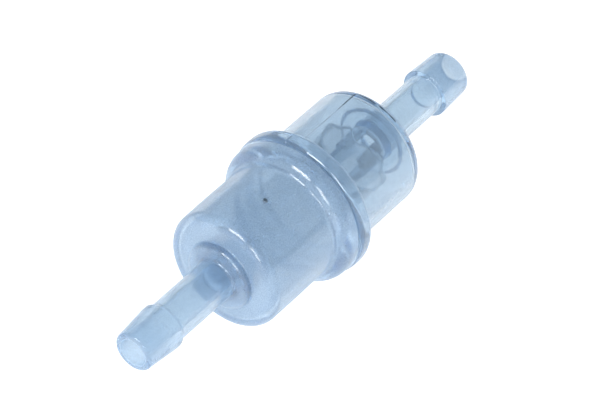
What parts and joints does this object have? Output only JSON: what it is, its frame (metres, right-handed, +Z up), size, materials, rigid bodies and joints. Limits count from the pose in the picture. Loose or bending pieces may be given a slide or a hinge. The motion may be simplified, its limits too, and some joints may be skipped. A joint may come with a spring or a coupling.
{
  "type": "in-line fuel filter",
  "caption": "Translucent in-line fuel filter for a small engine, with a hose barb at each end and a woven mesh sleeve sealed inside.",
  "frame": {"origin": "on the flow axis, in the plane of the weld between the two halves, half a millimetre from the middle of the filter", "axes": "+X along the flow axis from the inlet barb to the outlet barb, +Z up with the filter lying level"},
  "size_m": [0.0737, 0.023, 0.023],
  "materials": {
    "shell_plastic": "clear, pale blue moulded nylon",
    "weld_plastic": "clear, pale blue melted bead",
    "woven_nylon": "milky, fine woven nylon mesh",
    "collar_plastic": "milky, pale blue moulded nylon"
  },
  "bodies": {
    "root": {"inlet_housing": "shell_plastic", "outlet_housing": "shell_plastic", "weld_bead": "weld_plastic", "filter_sleeve": "woven_nylon", "sleeve_end": "woven_nylon", "sleeve_collar": "collar_plastic"}
  },
  "joints": []
}
